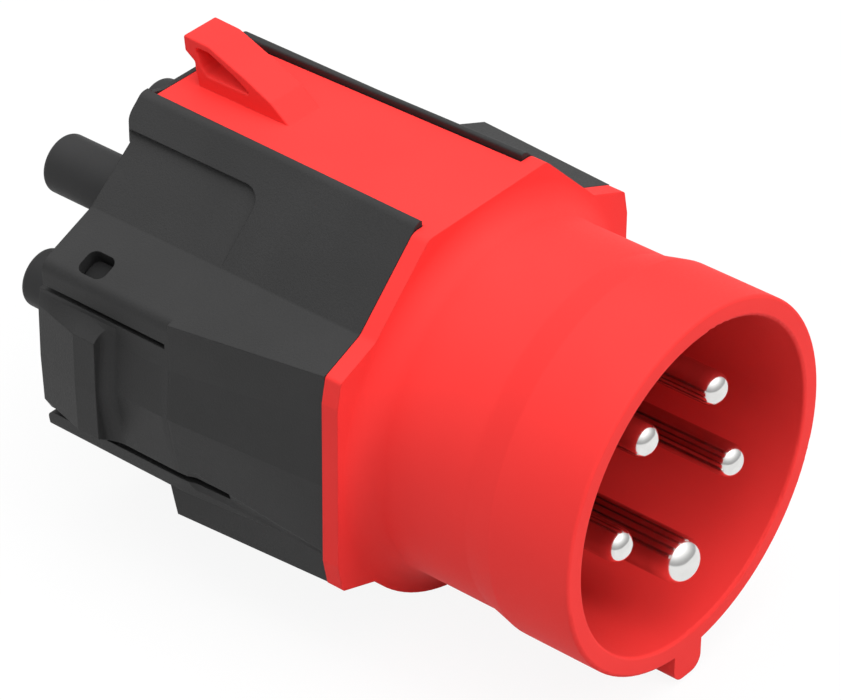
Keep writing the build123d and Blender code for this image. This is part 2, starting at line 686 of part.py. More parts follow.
def make_end_cut():
    """What sides and belly fall short of the rounded top block and the two rails."""
    cut = block(-CHEEK_X * 2, CHEEK_X * 2, HOUSING_END_Y, TOP_END_Y, REST_Z, LIP_Z)
    plan = [
        (-RECESS_EDGE_X, HOUSING_END_Y - TOP_END_ROUND),
        (RECESS_EDGE_X, HOUSING_END_Y - TOP_END_ROUND),
        (RECESS_EDGE_X, TOP_END_Y),
        (-RECESS_EDGE_X, TOP_END_Y),
    ]
    top = make_face(FilletPolyline(*plan, radius=[0, 0, TOP_END_ROUND, TOP_END_ROUND], close=True))
    cut -= Pos(0, 0, CHANNEL_FLOOR_Z - WALL) * extrude(top, amount=LIP_Z)
    rail_top_z = LATCH_BOTTOM_Z - LOWER_SLOT
    rail = block(LOBE_JOIN_X, CHEEK_X * 2, HOUSING_END_Y, TOP_END_Y, REST_Z, rail_top_z)
    nose = rail.edges().filter_by(Axis.X).group_by(Axis.Y)[-1].sort_by(Axis.Z)[-1]
    rail = fillet(nose, RAIL_END_ROUND)
    return cut - rail - mirror_x(rail)


def cut_shoulder(depth, y0, y1):
    """Everything beyond the cut shoulder of the right side, with the cut moved inwards by depth."""
    along = (Vector(CUT_LOWER) - Vector(CUT_UPPER)).normalized()
    outwards = along.rotate(Axis.Z, 90)
    upper = Vector(CUT_UPPER) - outwards * depth - along * CUT_REACH
    lower = Vector(CUT_LOWER) - outwards * depth + along * CUT_REACH
    corners = [upper, lower, lower + outwards * CUT_REACH, upper + outwards * CUT_REACH]
    return prism([(corner.X, corner.Y) for corner in corners], y0, y1)


def make_skirt():
    """Right skirt: it follows the flange's lower corner and ends in a slanted edge."""
    lower = (LOBE_JOIN_X, lobe_z(HOUSING_LOBE_R))
    front = section([SKIRT_INNER, lower, SKIRT_FRONT, RAIL_FRONT], HOUSING_Y)
    rear = section([SKIRT_INNER, lower, SKIRT_REAR, RAIL_REAR], SKIRT_TOP_Y)
    slant = (SKIRT_TOP_Y - SKIRT_BOTTOM_Y) / (RAIL_REAR[1] - SKIRT_REAR[1])
    edge = [
        (SKIRT_TOP_Y, RAIL_REAR[1]),
        (SKIRT_TOP_Y - slant * (RAIL_REAR[1] - REST_Z), REST_Z),
        (SKIRT_TOP_Y + JOIN, REST_Z),
        (SKIRT_TOP_Y + JOIN, RAIL_REAR[1]),
    ]
    cut = extrude(Plane.YZ * make_face(Polyline(*edge, close=True)), amount=CHEEK_X * 2)
    return loft([front, rear], ruled=True) - cut


def make_hollow():
    """Tapered hollow between the right side and its skirt, with a round rear end."""
    front = Vector(*HOLLOW_FRONT)
    rear = Vector(*HOLLOW_REAR)
    axis = Plane(origin=front, z_dir=rear - front)
    cone = axis * Cone(HOLLOW_FRONT_R, HOLLOW_REAR_R, (rear - front).length,
                       align=(Align.CENTER, Align.CENTER, Align.MIN))
    return cone + Pos(*HOLLOW_REAR) * Sphere(HOLLOW_REAR_R)


def make_recess():
    """Finger recess: a step at its upper edge, and a floor that comes up to the ridge."""
    slope = math.radians(REAR_SLOPE_ANGLE)
    edge = Vector(RECESS_EDGE_X, RIDGE_Z + (RIDGE_X - RECESS_EDGE_X) * math.tan(slope))
    outwards = Vector(math.sin(slope), math.cos(slope))
    foot = edge - outwards * RECESS_DEPTH
    ridge = Vector(RIDGE_X, RIDGE_Z)
    corners = [foot, ridge, ridge + outwards * WALL, edge + outwards * WALL]
    cutter = prism([(corner.X, corner.Y) for corner in corners], RECESS_Y, TOP_END_Y)
    step_end = cutter.faces().sort_by(Axis.Y)[0].edges().sort_by(Axis.X)[0]
    return fillet(step_end, RECESS_ROUND)


def make_latch_opening():
    """Window for the right latch, with its two slots and the relief behind the seam."""
    low_z = LATCH_BOTTOM_Z - LOWER_SLOT
    high_z = LATCH_TOP_Z + UPPER_SLOT
    inner_x = LATCH_INNER_X - WALL
    outer_x = CREASE_B_REAR[0] + WALL
    seam = [
        (outer_x, LATCH_Y),
        (CREASE_B_REAR[0], LATCH_Y),
        (inner_x, LATCH_Y - LATCH_RELIEF),
        (inner_x, TOP_END_Y),
        (outer_x, TOP_END_Y),
    ]
    opening = Pos(0, 0, low_z) * extrude(make_face(Polyline(*seam, close=True)), amount=high_z - low_z)
    return opening + block(inner_x - WALL, outer_x, LOWER_SLOT_Y, LATCH_Y, low_z, LATCH_BOTTOM_Z)


def window_bar(x, z, angle, gap, low, high):
    """Bar that fits a window with a gap, from low to high along the normal of a falling face."""
    tilt = math.radians(angle)
    face = Plane(origin=(x, WINDOW_Y, z), x_dir=(0, 1, 0), z_dir=(math.sin(tilt), 0, math.cos(tilt)))
    outline = RectangleRounded(WINDOW_LENGTH - 2 * gap, WINDOW_WIDTH - 2 * gap, WINDOW_ROUND - gap)
    return extrude(face.offset(low) * outline, amount=high - low)


def left_window(gap, low, high):
    """Bar through the left band."""
    return mirror_x(window_bar(WINDOW_X, band_z(WINDOW_X), BAND_ANGLE, gap, low, high))


def right_window(gap, low, high):
    """Bar through the middle of the right side's cut shoulder."""
    middle = (Vector(CUT_UPPER) + Vector(CUT_LOWER)) / 2
    fall = Vector(CUT_UPPER) - Vector(CUT_LOWER)
    angle = math.degrees(math.atan2(fall.Y, -fall.X))
    return window_bar(middle.X, middle.Y, angle, gap, low, high)


def make_rear_carrier():
    """Plate with a rim, holes for the sleeves, room for the latches, and two snap lugs."""
    lobe_r = HOUSING_LOBE_R - WALL - CARRIER_FIT
    lobe_flat = REST_Z + WALL + CARRIER_FIT
    end_y = CARRIER_Y + CARRIER_T
    low_z = LATCH_BOTTOM_Z - LOWER_SLOT - CARRIER_SIDE_GAP
    high_z = LATCH_TOP_Z + UPPER_SLOT + CARRIER_SIDE_GAP
    room = block(LATCH_TRAVEL_X, CHEEK_X * 2, CARRIER_RIM_Y, end_y, low_z, high_z)
    room += mirror_x(room)
    wall = block(LATCH_TRAVEL_X - CARRIER_RIM_T, CHEEK_X * 2, CARRIER_RIM_Y, CARRIER_Y,
                 low_z - CARRIER_RIM_T, high_z + CARRIER_RIM_T)
    wall += mirror_x(wall)
    plate = inner_outline(REAR_HALF, REAR_SLOPE_ANGLE, WALL + CARRIER_FIT)
    carrier = prism(plate, CARRIER_RIM_Y, end_y)
    carrier += belly(lobe_r, lobe_flat, CARRIER_RIM_Y, end_y)
    carrier -= cut_shoulder(WALL + CARRIER_FIT, CARRIER_RIM_Y, end_y)
    rim_depth = WALL + CARRIER_FIT + CARRIER_RIM_T
    hollow = prism(inner_outline(REAR_HALF, REAR_SLOPE_ANGLE, rim_depth), CARRIER_RIM_Y, CARRIER_Y)
    hollow += belly(lobe_r - CARRIER_RIM_T, lobe_flat + CARRIER_RIM_T, CARRIER_RIM_Y, CARRIER_Y)
    hollow -= cut_shoulder(rim_depth, CARRIER_RIM_Y, CARRIER_Y)
    carrier -= hollow - wall
    carrier -= room
    for _, _, _, (x, z) in POLES.values():
        carrier -= rod(x, z, SLEEVE_R + SLEEVE_FIT, CARRIER_Y, end_y)
    snap_foot = -WALL - CARRIER_FIT - CARRIER_RIM_T / 2
    carrier += left_window(SNAP_GAP, snap_foot, -SNAP_SINK)
    return carrier + right_window(SNAP_GAP, snap_foot, -SNAP_SINK)


def make_nodes():
    """Every node's shape by name."""
    latch = make_latch()
    nodes = {
        "front_shell": make_front_shell(),
        "pin_carrier": make_pin_carrier(),
        "carrier_seal": make_carrier_seal(),
        "carrier_screws": Compound(children=[make_screw(x, z) for x, z in SCREW_PLACES]),
        "housing": make_housing(),
        "latch_right": latch,
        "latch_left": mirror_x(latch),
        "rear_carrier": make_rear_carrier(),
    }
    for name, (angle, radius, tip_y, contact) in POLES.items():
        nodes["pin_" + name] = make_pin(angle, radius, tip_y)
        nodes["conductor_" + name] = make_conductor(angle, contact)
        nodes["contact_" + name] = make_contact(*contact)
        nodes["sleeve_" + name] = make_sleeve(*contact)
    return nodes


os.makedirs("parts", exist_ok=True)
for node, shape in make_nodes().items():
    export_step(shape, f"parts/{node}.step")
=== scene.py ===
# %% [markdown]
# # A plug adapter, dressed for its portrait
# The real object is an attachment plug: a red moulding with five plated pins in its round
# collar, and a black housing with two side latches and five sleeves at the rear. The frame
# holds every piece at its true size and place. This lesson gives each surface its finish,
# turns the round parts finely, rebuilds the latches as tongues, and sets the camera and the light.

# %% Load the frame
import json
import math

import bmesh
import bpy
from mathutils import Matrix, Vector


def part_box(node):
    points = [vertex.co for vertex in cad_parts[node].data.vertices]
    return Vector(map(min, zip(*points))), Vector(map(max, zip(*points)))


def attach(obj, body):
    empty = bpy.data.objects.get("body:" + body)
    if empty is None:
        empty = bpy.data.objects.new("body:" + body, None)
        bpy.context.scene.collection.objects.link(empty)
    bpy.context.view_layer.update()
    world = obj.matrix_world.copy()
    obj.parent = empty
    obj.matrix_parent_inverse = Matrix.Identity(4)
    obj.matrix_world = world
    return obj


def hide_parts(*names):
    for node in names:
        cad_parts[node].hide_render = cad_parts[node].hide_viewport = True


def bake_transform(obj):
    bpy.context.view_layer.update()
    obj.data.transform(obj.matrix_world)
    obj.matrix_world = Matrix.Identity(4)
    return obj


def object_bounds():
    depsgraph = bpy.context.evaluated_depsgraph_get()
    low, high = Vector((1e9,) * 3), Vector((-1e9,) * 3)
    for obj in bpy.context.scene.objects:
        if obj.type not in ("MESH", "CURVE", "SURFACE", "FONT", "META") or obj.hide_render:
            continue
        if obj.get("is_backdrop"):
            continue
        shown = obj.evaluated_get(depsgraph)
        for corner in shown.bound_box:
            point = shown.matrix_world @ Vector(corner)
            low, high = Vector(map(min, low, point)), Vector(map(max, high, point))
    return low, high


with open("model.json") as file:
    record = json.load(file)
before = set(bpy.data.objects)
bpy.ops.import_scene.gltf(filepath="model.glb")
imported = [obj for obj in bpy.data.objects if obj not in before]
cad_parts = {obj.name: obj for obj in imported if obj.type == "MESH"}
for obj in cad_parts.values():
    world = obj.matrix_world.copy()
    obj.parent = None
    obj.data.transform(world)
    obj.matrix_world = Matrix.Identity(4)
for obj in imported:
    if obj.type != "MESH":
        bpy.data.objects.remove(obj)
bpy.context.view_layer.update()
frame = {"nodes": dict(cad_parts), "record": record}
mounts = {mount["name"]: mount for mount in frame["record"]["mounts"]}
MM = 0.001

# %% [markdown]
# ## Camera
# The picture was taken with a long lens from the front, the left and above. The camera's
# place was worked out from straight edges and circles of known size. It is set from those
# angles and from where the middle of the collar's rim falls in the picture, so a change of
# distance or lens keeps the rim where it is.

# %% The photograph's camera
PICTURE_WIDTH = 841
PICTURE_HEIGHT = 700
CAMERA_AZIMUTH = math.radians(-50.556)
CAMERA_ELEVATION = math.radians(34.867)
CAMERA_ROLL = math.radians(0.449)
CAMERA_DISTANCE = 627.54 * MM
FOCAL_PIXELS = 4566.4
RIM_PIXEL = (696.33, 488.24)
SENSOR_WIDTH = 36.0
NEAR_LIMIT = 0.01
FAR_LIMIT = 10.0


def camera_axes():
    """Right, up and back directions of the camera."""
    level_right = Vector((math.cos(CAMERA_AZIMUTH), math.sin(CAMERA_AZIMUTH), 0))
    back = Vector((
        math.sin(CAMERA_AZIMUTH) * math.cos(CAMERA_ELEVATION),
        -math.cos(CAMERA_AZIMUTH) * math.cos(CAMERA_ELEVATION),
        math.sin(CAMERA_ELEVATION),
    ))
    roll = Matrix.Rotation(CAMERA_ROLL, 3, back)
    return roll @ level_right, roll @ back.cross(level_right), back


right, up, back = camera_axes()
metres_per_pixel = CAMERA_DISTANCE / FOCAL_PIXELS
aside = (RIM_PIXEL[0] - PICTURE_WIDTH / 2) * metres_per_pixel
below = (RIM_PIXEL[1] - PICTURE_HEIGHT / 2) * metres_per_pixel
camera_data = bpy.data.cameras.new("portrait_camera")
camera_data.sensor_width = SENSOR_WIDTH
camera_data.lens = FOCAL_PIXELS * SENSOR_WIDTH / PICTURE_WIDTH
camera_data.clip_start = NEAR_LIMIT
camera_data.clip_end = FAR_LIMIT
camera = bpy.data.objects.new("portrait_camera", camera_data)
bpy.context.scene.collection.objects.link(camera)
camera_place = back * CAMERA_DISTANCE - right * aside + up * below
camera_turn = Matrix((right, up, back)).transposed().to_4x4()
camera.matrix_world = Matrix.Translation(camera_place) @ camera_turn
bpy.context.scene.camera = camera
print("lens", round(camera_data.lens, 1), "mm")

# %% [markdown]
# ## Floor
# The adapter lies on the key under its collar and on the flat of its belly. The key reaches
# lower, so the floor slopes very slightly in the object's own frame. Each foot is the lowest
# vertex of its node within a stretch of y. The floor's paint comes later, with the light.

# %% Floor that touches key and belly
FLOOR_SIZE = 6.0
FLOOR_GAP = 0.02 * MM
KEY_FOOT_FROM_Y = 18 * MM
KEY_FOOT_TO_Y = 30 * MM
BELLY_FROM_Y = 85 * MM
HEIGHT_DIGITS = 5


def lowest_point(node, y_from, y_to=math.inf):
    """Lowest vertex of a node between two values of y."""
    points = [v.co for v in frame["nodes"][node].data.vertices if y_from <= v.co.y <= y_to]
    return min(points, key=lambda point: (round(point.z, HEIGHT_DIGITS), -point.y))


key_foot = lowest_point("front_shell", KEY_FOOT_FROM_Y, KEY_FOOT_TO_Y)
belly_foot = lowest_point("housing", BELLY_FROM_Y)
floor_tilt = math.atan2(belly_foot.z - key_foot.z, belly_foot.y - key_foot.y)
bpy.ops.mesh.primitive_plane_add(size=FLOOR_SIZE)
floor = bpy.context.object
floor.name = "studio_floor"
floor.rotation_euler = (floor_tilt, 0, 0)
floor.location = (0, key_foot.y, key_foot.z - FLOOR_GAP)
floor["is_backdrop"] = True
print("floor tilt", round(math.degrees(floor_tilt), 2), "degrees")

# %% [markdown]
# ## A node graph in a few words
# Every finish below is a small shader graph. The first helpers make a material, add a node
# with its plain values set by the names that Blender shows, and read a noise on the object's
# own coordinates, so that a pattern stays on the surface when the object turns. The last one
# keeps a finish under the slot name that the record uses.

# %% Materials, nodes and noise
FINISHES = {}


def new_material(name):
    """New material, its node tree and its surface shader."""
    material = bpy.data.materials.new(name)
    material.use_nodes = True
    shader = material.node_tree.nodes["Principled BSDF"]
    return material, material.node_tree, shader


def add_node(tree, kind, **values):
    """New node of a kind. Values are sockets by name, with _ for a space."""
    node = tree.nodes.new(kind)
    for name, value in values.items():
        node.inputs[name.replace("_", " ")].default_value = value
    return node


def object_noise(tree, scale, detail=2.0):
    """Noise on the object's own coordinates. Scale counts its waves in a metre."""
    place = tree.nodes.new("ShaderNodeTexCoord")
    noise = add_node(tree, "ShaderNodeTexNoise", Scale=scale, Detail=detail)
    tree.links.new(place.outputs["Object"], noise.inputs["Vector"])
    return noise.outputs["Fac"]


def keep_finish(slot, material):
    """Keep a finish for every piece of a slot."""
    FINISHES[slot] = material
    print("finish", material.name, "of", len(material.node_tree.nodes), "nodes")


# %% [markdown]
# ## From noise to colour, gloss and grain
# A noise is only a number at each point. These helpers turn it into what the eye reads: a
# blend of two close colours, a roughness that wanders a little, and fine bumps. The bump
# helper can also soften the corners, because no edge of a real moulding is perfectly sharp.
# The Mix node has sockets of one name for each kind of value, so its colour sockets are
# picked by their place.

# %% Colour, gloss and grain
NOISE_LOW = 0.3
NOISE_HIGH = 0.7
CORNER_SAMPLES = 6
MIX_FIRST_COLOUR = 6
MIX_SECOND_COLOUR = 7
MIX_COLOUR = 2


def ramp(tree, factor, low, high, start=0.35, end=0.65):
    """Blend between two colours as a factor goes from start to end."""
    node = tree.nodes.new("ShaderNodeValToRGB")
    node.color_ramp.elements[0].position = start
    node.color_ramp.elements[1].position = end
    node.color_ramp.elements[0].color = (*low, 1)
    node.color_ramp.elements[1].color = (*high, 1)
    tree.links.new(factor, node.inputs["Fac"])
    return node.outputs["Color"]


def spread(tree, factor, low, high):
    """Value between low and high that follows a noise."""
    node = add_node(tree, "ShaderNodeMapRange", From_Min=NOISE_LOW, From_Max=NOISE_HIGH,
                    To_Min=low, To_Max=high)
    tree.links.new(factor, node.inputs["Value"])
    return node.outputs["Result"]


def multiplied(tree, first, second):
    """Product of two colours."""
    node = tree.nodes.new("ShaderNodeMix")
    node.data_type = "RGBA"
    node.blend_type = "MULTIPLY"
    node.inputs["Factor"].default_value = 1.0
    tree.links.new(first, node.inputs[MIX_FIRST_COLOUR])
    tree.links.new(second, node.inputs[MIX_SECOND_COLOUR])
    return node.outputs[MIX_COLOUR]


def grain(tree, shader, factor, depth, edge=0.0):
    """Fine bumps of a depth in metres. Edge is the radius that softens the corners."""
    bump = add_node(tree, "ShaderNodeBump", Strength=1.0, Distance=depth)
    tree.links.new(factor, bump.inputs["Height"])
    if edge:
        corner = add_node(tree, "ShaderNodeBevel", Radius=edge)
        corner.samples = CORNER_SAMPLES
        tree.links.new(corner.outputs["Normal"], bump.inputs["Normal"])
    tree.links.new(bump.outputs["Normal"], shader.inputs["Normal"])


# %% [markdown]
# ## Red moulding
# The front shell is one red part from a polished tool with a faint satin skin. Its colour is
# nearly even: a real moulding varies only a little where the melt cooled at its own pace, so
# a broad noise moves between two close reds. A finer noise varies the gloss, and a very
# shallow grain breaks up the highlights. Other plain mouldings differ only in their numbers,
# so one function makes them all.

# %% Red plastic
def moulded(name, colours, roughness, specular, cloud_scale, skin_scale, skin_detail, skin_depth,
            edge=0.0):
    """Plastic with a broad noise in its colour and a fine one in its skin."""
    material, tree, shader = new_material(name)
    clouds = object_noise(tree, cloud_scale)
    skin = object_noise(tree, skin_scale, skin_detail)
    tree.links.new(ramp(tree, clouds, *colours), shader.inputs["Base Color"])
    tree.links.new(spread(tree, skin, *roughness), shader.inputs["Roughness"])
    shader.inputs["Specular IOR Level"].default_value = specular
    grain(tree, shader, skin, skin_depth, edge)
    return material


keep_finish("red_plastic", moulded(
    "red_plastic",
    colours=((0.855, 0.041, 0.038), (0.885, 0.045, 0.041)),
    roughness=(0.56, 0.64),
    specular=0.1,
    cloud_scale=45.0,
    skin_scale=2600.0,
    skin_detail=3.0,
    skin_depth=0.012 * MM,
    edge=0.22 * MM,
))

# %% [markdown]
# ## Black housing
# The housing comes from a tool with an etched, finely pitted skin. In soft light that skin
# reads as a dark grey with tiny pale flecks. Two noises share the work: a broad one for the
# slight cloudiness, and a fine one for the pits, which sets the flecks, the gloss and the
# bumps together, as real pits do.

# %% Pitted black plastic
BLACK_DEEP = (0.0195, 0.0195, 0.0197)
BLACK_PALE = (0.0235, 0.0235, 0.0238)
BLACK_CLOUD_SCALE = 60.0
BLACK_ROUGHNESS = (0.5, 0.64)
BLACK_SPECULAR = 0.34
PIT_SCALE = 3400.0
PIT_DETAIL = 4.0
PIT_DARKEST = (0.82, 0.82, 0.82)
PIT_PALEST = (1.18, 1.18, 1.18)
PIT_DEPTH = 0.04 * MM
BLACK_EDGE = 0.2 * MM


def pitted_black():
    """Dark grey with the flecks and the broken gloss of an etched skin."""
    material, tree, shader = new_material("black_plastic")
    clouds = object_noise(tree, BLACK_CLOUD_SCALE)
    pits = object_noise(tree, PIT_SCALE, PIT_DETAIL)
    cloudy = ramp(tree, clouds, BLACK_DEEP, BLACK_PALE)
    flecks = ramp(tree, pits, PIT_DARKEST, PIT_PALEST, start=NOISE_LOW, end=NOISE_HIGH)
    tree.links.new(multiplied(tree, cloudy, flecks), shader.inputs["Base Color"])
    tree.links.new(spread(tree, pits, *BLACK_ROUGHNESS), shader.inputs["Roughness"])
    shader.inputs["Specular IOR Level"].default_value = BLACK_SPECULAR
    grain(tree, shader, pits, PIT_DEPTH, BLACK_EDGE)
    return material


keep_finish("black_plastic", pitted_black())

# %% [markdown]
# ## Smooth black mouldings
# The sleeves are smoother than the housing, because they have to slide in their seats, and
# the pin carrier is a plain technical moulding. The rear carrier is black too, but only its
# snap lugs show, in the shade of the two windows, so its black is darkened with painted shade.

# %% Sleeves, pin carrier and rear carrier
SLEEVE_BLACKS = ((0.031, 0.031, 0.0315), (0.036, 0.036, 0.0366))
INSERT_BLACKS = ((0.02, 0.02, 0.022), (0.028, 0.028, 0.03))
PAINTED_SHADE_BLACKS = ((0.015, 0.015, 0.0153), (0.019, 0.019, 0.0194))
SATIN = (0.46, 0.54)
DULL = (0.56, 0.64)


def smooth_black(name, colours, roughness):
    """Even black plastic with a smooth skin."""
    return moulded(
        name,
        colours=colours,
        roughness=roughness,
        specular=0.14,
        cloud_scale=80.0,
        skin_scale=3000.0,
        skin_detail=2.0,
        skin_depth=0.01 * MM,
    )


keep_finish("sleeve_plastic", smooth_black("sleeve_plastic", SLEEVE_BLACKS, SATIN))
keep_finish("insert_plastic", smooth_black("insert_plastic", INSERT_BLACKS, SATIN))
# painted shade: a darker black for the carrier that lies in the windows' shade
painted_shade_black = smooth_black("painted_shade_black", PAINTED_SHADE_BLACKS, DULL)

# %% [markdown]
# ## Plated metal
# Pins and contacts are brass with a bright plate. They are polished in a barrel after they
# are turned, so no ring of the lathe is left, only a slight cloudiness in the gloss. The
# tips keep the plate's colour, and behind them the colour is darkened with painted shade,
# which grows with the depth in the collar.

# %% Nickel plate
PLATE_DEEP = (0.87, 0.865, 0.85)
PLATE_PALE = (0.94, 0.935, 0.92)
PLATE_CLOUD_SCALE = 420.0
PLATE_CLOUD_DETAIL = 3.0
PLATE_ROUGHNESS = (0.13, 0.18)
PLATE_DEPTH = 0.002 * MM
TIP_TONE = (1.0, 1.0, 1.0)
# painted shade: the shafts' colour is darkened deeper in the collar
SHANK_PAINTED_SHADE = (0.62, 0.61, 0.6)
PAINTED_SHADE_FROM_Y = 2.5 * MM
PAINTED_SHADE_FULL_Y = 5.0 * MM


def nickel_plate():
    """Polished plate, darkened behind the tips with painted shade."""
    material, tree, shader = new_material("nickel_plate")
    clouds = object_noise(tree, PLATE_CLOUD_SCALE, PLATE_CLOUD_DETAIL)
    plate = ramp(tree, clouds, PLATE_DEEP, PLATE_PALE)
    place = tree.nodes.new("ShaderNodeTexCoord")
    parts = tree.nodes.new("ShaderNodeSeparateXYZ")
    depth = add_node(tree, "ShaderNodeMapRange", From_Min=PAINTED_SHADE_FROM_Y, From_Max=PAINTED_SHADE_FULL_Y)
    tree.links.new(place.outputs["Object"], parts.inputs[0])
    tree.links.new(parts.outputs["Y"], depth.inputs["Value"])
    # painted shade: the plate darkens from the tips back into the collar
    painted_shade = ramp(tree, depth.outputs["Result"], TIP_TONE, SHANK_PAINTED_SHADE, start=0, end=1)
    tree.links.new(multiplied(tree, plate, painted_shade), shader.inputs["Base Color"])
    tree.links.new(spread(tree, clouds, *PLATE_ROUGHNESS), shader.inputs["Roughness"])
    shader.inputs["Metallic"].default_value = 1.0
    grain(tree, shader, clouds, PLATE_DEPTH)
    return material


keep_finish("plated_metal", nickel_plate())

# %% [markdown]
# ## Screws, seal and wires
# These pieces are hidden while the adapter is whole, but a model that is taken apart shows
# them. Zinc, rubber and insulation each need only one noise, which moves their colour, their
# gloss and their fine bumps together.

# %% Zinc, rubber and insulation
WIRE_SHADE = 0.86
WIRE_COLOURS = {
    "wire_phase": (0.12, 0.055, 0.025),
    "wire_neutral": (0.04, 0.13, 0.45),
    "wire_earth": (0.3, 0.48, 0.05),
}


def clouded(name, colours, roughness, scale, detail, depth, metallic=0.0):
    """Finish whose colour, gloss and bumps all follow one noise."""
    material, tree, shader = new_material(name)
    clouds = object_noise(tree, scale, detail)
    tree.links.new(ramp(tree, clouds, *colours), shader.inputs["Base Color"])
    tree.links.new(spread(tree, clouds, *roughness), shader.inputs["Roughness"])
    shader.inputs["Metallic"].default_value = metallic
    grain(tree, shader, clouds, depth)
    return material


keep_finish("screw_steel", clouded(
    "zinc_steel",
    colours=((0.5, 0.51, 0.53), (0.62, 0.63, 0.65)),
    roughness=(0.28, 0.42),
    scale=700.0,
    detail=4.0,
    depth=0.01 * MM,
    metallic=1.0,
))
keep_finish("seal_rubber", clouded(
    "seal_rubber",
    colours=((0.018, 0.018, 0.018), (0.028, 0.028, 0.028)),
    roughness=(0.6, 0.75),
    scale=1200.0,
    detail=2.0,
    depth=0.01 * MM,
))
for slot, colour in WIRE_COLOURS.items():
    shaded = tuple(WIRE_SHADE * part for part in colour)
    keep_finish(slot, clouded(
        slot,
        colours=(shaded, colour),
        roughness=(0.4, 0.5),
        scale=500.0,
        detail=2.0,
        depth=0.006 * MM,
    ))

# %% [markdown]
# ## A finish for every piece
# The record names a material slot for each node, and the table of finishes has one for each
# slot, so a new piece of a known slot is dressed without a further line. Only the rear
# carrier takes its own black, darkened with painted shade.

# %% Dress the nodes
node_slots = {part["node"]: part["material_slot"] for part in frame["record"]["subparts"]}
node_finishes = {name: FINISHES[slot] for name, slot in node_slots.items()}
# painted shade: the rear carrier's black is darkened for the shade in the windows
node_finishes["rear_carrier"] = painted_shade_black
for name, node in frame["nodes"].items():
    node.data.materials.clear()
    node.data.materials.append(node_finishes[name])
print("dressed", len(node_slots), "nodes")

# %% [markdown]
# ## Turned parts
# Pins, contacts and sleeves are all turned shapes, so one Geometry Nodes tree makes them
# from their profiles. A profile is a line of corners from the front to the back, each given
# as radius and y with the radius of its rounding. The tree rounds the corners, lays a grid
# over profile and turn, wraps it round the part's axis, closes the seam and keeps real
# corners crisp. Primitive cylinders would need a bevel and a cut for each step instead.

# %% A lathe in Geometry Nodes
MERGE_GAP = 0.001 * MM
LATHE_INPUTS = {
    "Profile": "NodeSocketGeometry",
    "Axis X": "NodeSocketFloat",
    "Axis Z": "NodeSocketFloat",
    "Steps": "NodeSocketInt",
    "Corner Steps": "NodeSocketInt",
    "Crisp Angle": "NodeSocketFloat",
    "Finish": "NodeSocketMaterial",
}


def lathe_tree():
    """Node tree that turns a profile line, with the line's points as (radius, y, 0)."""
    tree = bpy.data.node_groups.new("lathe", "GeometryNodeTree")
    for name, kind in LATHE_INPUTS.items():
        tree.interface.new_socket(name, in_out="INPUT", socket_type=kind)
    tree.interface.new_socket("Part", in_out="OUTPUT", socket_type="NodeSocketGeometry")
    given = tree.nodes.new("NodeGroupInput").outputs

    def node(kind, links=None, settings=None, **values):
        made = add_node(tree, kind, **values)
        for name, value in (settings or {}).items():
            setattr(made, name, value)
        for socket, output in (links or {}).items():
            tree.links.new(output, made.inputs[socket])
        return made.outputs

    def maths(operation, first, second=None):
        made = tree.nodes.new("ShaderNodeMath")
        made.operation = operation
        for socket, value in zip(made.inputs, (first, second)):
            if isinstance(value, bpy.types.NodeSocket):
                tree.links.new(value, socket)
            elif value is not None:
                socket.default_value = value
        return made.outputs[0]

    corner = node("GeometryNodeInputNamedAttribute", settings={"data_type": "FLOAT"}, Name="corner")
    line = node("GeometryNodeMeshToCurve", {"Mesh": given["Profile"]})
    rounded = node("GeometryNodeFilletCurve",
                   {"Curve": line["Curve"], "Count": given["Corner Steps"],
                    "Radius": corner["Attribute"]},
                   {"mode": "POLY"}, Limit_Radius=True)
    count = node("GeometryNodeAttributeDomainSize", {"Geometry": rounded["Curve"]},
                 {"component": "CURVE"})
    around = maths("ADD", given["Steps"], 1)
    grid = node("GeometryNodeMeshGrid", {"Vertices X": count["Point Count"], "Vertices Y": around})
    index = node("GeometryNodeInputIndex")[0]
    along = maths("FLOOR", maths("DIVIDE", index, around))
    step = maths("SUBTRACT", index, maths("MULTIPLY", along, around))
    angle = maths("MULTIPLY", maths("DIVIDE", step, given["Steps"]), math.tau)
    position = node("GeometryNodeInputPosition")[0]
    point = node("GeometryNodeSampleIndex",
                 {"Geometry": rounded["Curve"], "Value": position, "Index": along},
                 {"data_type": "FLOAT_VECTOR", "domain": "POINT"})
    parts = node("ShaderNodeSeparateXYZ", {0: point[0]})
    side = maths("ADD", given["Axis X"], maths("MULTIPLY", parts["X"], maths("COSINE", angle)))
    height = maths("ADD", given["Axis Z"], maths("MULTIPLY", parts["X"], maths("SINE", angle)))
    place = node("ShaderNodeCombineXYZ", {"X": side, "Y": parts["Y"], "Z": height})
    turned = node("GeometryNodeSetPosition", {"Geometry": grid["Mesh"], "Position": place[0]})
    closed = node("GeometryNodeMergeByDistance", {"Geometry": turned[0]}, Distance=MERGE_GAP)
    smooth = node("GeometryNodeSetShadeSmooth", {"Geometry": closed[0]}, Shade_Smooth=True)
    bend = node("GeometryNodeInputMeshEdgeAngle")
    crisp = maths("GREATER_THAN", bend["Unsigned Angle"], given["Crisp Angle"])
    edged = node("GeometryNodeSetShadeSmooth", {"Geometry": smooth[0], "Selection": crisp},
                 {"domain": "EDGE"}, Shade_Smooth=False)
    real = node("GeometryNodeRealizeInstances", {"Geometry": edged[0]})
    finished = node("GeometryNodeSetMaterial", {"Geometry": real[0], "Material": given["Finish"]})
    tree.links.new(finished[0], tree.nodes.new("NodeGroupOutput").inputs["Part"])
    return tree


lathe = lathe_tree()
print("lathe tree of", len(lathe.nodes), "nodes")

# %% [markdown]
# ## From the lathe to a plain mesh
# A profile becomes a small mesh of points and edges, and the rounding of each corner is an
# attribute on its point. The lathe runs on it once, as a modifier, and its result is kept as
# a plain mesh, so nothing live is left. The part's axis is the middle of its node's box, so
# it stays where the solid is.

# %% Turn one part
TURN_STEPS = 96
CORNER_STEPS = 12
CRISP_ANGLE = math.radians(32)


